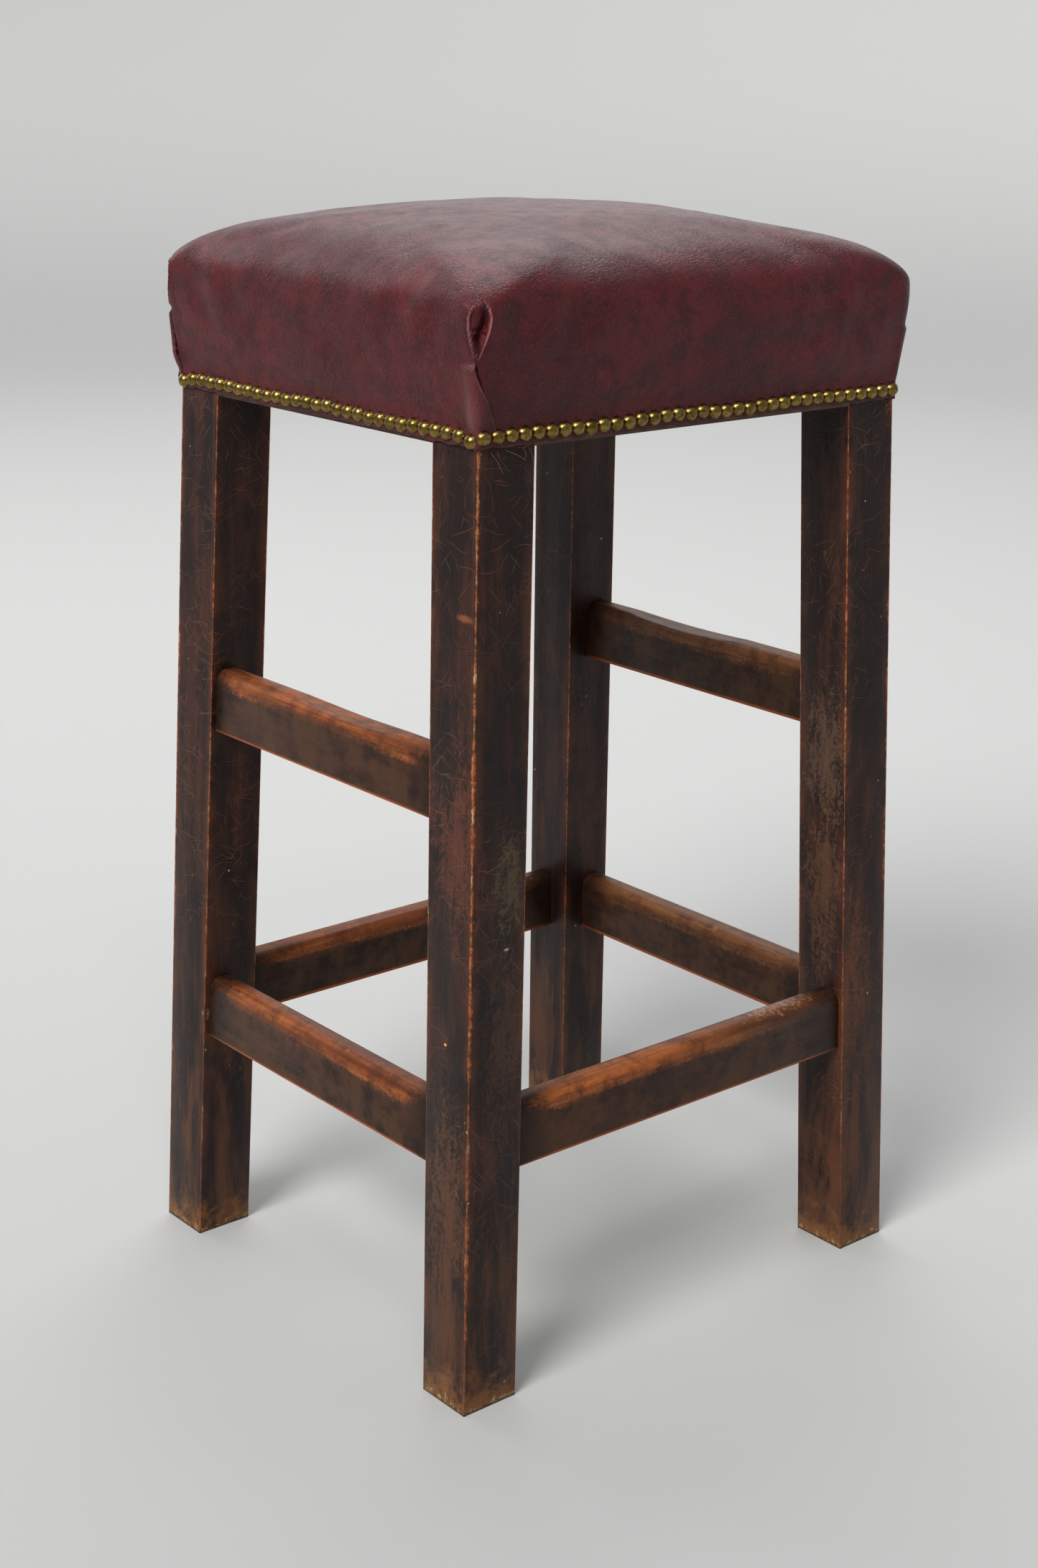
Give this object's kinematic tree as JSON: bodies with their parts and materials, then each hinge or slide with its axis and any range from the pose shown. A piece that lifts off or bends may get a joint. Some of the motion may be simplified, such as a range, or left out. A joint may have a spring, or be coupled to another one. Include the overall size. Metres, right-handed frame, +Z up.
{
  "type": "bar stool",
  "caption": "Square-legged wooden bar stool with footrest rails and a stuffed leather seat edged with brass nails.",
  "frame": {"origin": "on the floor, midway between the four feet", "axes": "+Z up; the front, with the footrest rail, faces -Y; the ends with two rails face -X and +X"},
  "size_m": [0.3724, 0.3324, 0.697],
  "materials": {
    "stained_wood": "dark stain and old polish, arrises worn to orange-brown",
    "rail_wood": "dark stain, top edges worn bare by feet",
    "bare_wood": "unfinished hardwood, darkened by age",
    "screw_steel": "dull wood screw steel",
    "jute_webbing": "herringbone jute webbing",
    "tack_steel": "blued cut tacks",
    "hessian_cloth": "plain-woven hessian",
    "fibre_stuffing": "coarse fibre stuffing",
    "cotton_wadding": "soft cotton wadding",
    "oxblood_leather": "oxblood leather, satin, pebbled grain, creased",
    "aged_brass": "domed brass nail heads, mellowed by age"
  },
  "bodies": {
    "root": {"leg_front_left": "stained_wood", "leg_front_right": "stained_wood", "leg_rear_left": "stained_wood", "leg_rear_right": "stained_wood", "footrest_rail_front": "rail_wood", "low_rail_rear": "rail_wood", "low_rail_left": "rail_wood", "low_rail_right": "rail_wood", "high_rail_left": "rail_wood", "high_rail_right": "rail_wood", "seat_rail_front": "bare_wood", "seat_rail_rear": "bare_wood", "seat_rail_left": "bare_wood", "seat_rail_right": "bare_wood", "corner_block_front_left": "bare_wood", "corner_block_front_right": "bare_wood", "corner_block_rear_left": "bare_wood", "corner_block_rear_right": "bare_wood", "corner_block_screws": "screw_steel", "strap_long_left": "jute_webbing", "strap_long_middle": "jute_webbing", "strap_long_right": "jute_webbing", "strap_cross_front": "jute_webbing", "strap_cross_middle": "jute_webbing", "strap_cross_rear": "jute_webbing", "webbing_tacks": "tack_steel", "hessian": "hessian_cloth", "hessian_tacks": "tack_steel", "stuffing_pad": "fibre_stuffing", "wadding": "cotton_wadding", "leather_cover": "oxblood_leather", "nails_front": "aged_brass", "nails_rear": "aged_brass", "nails_left": "aged_brass", "nails_right": "aged_brass"}
  },
  "joints": []
}
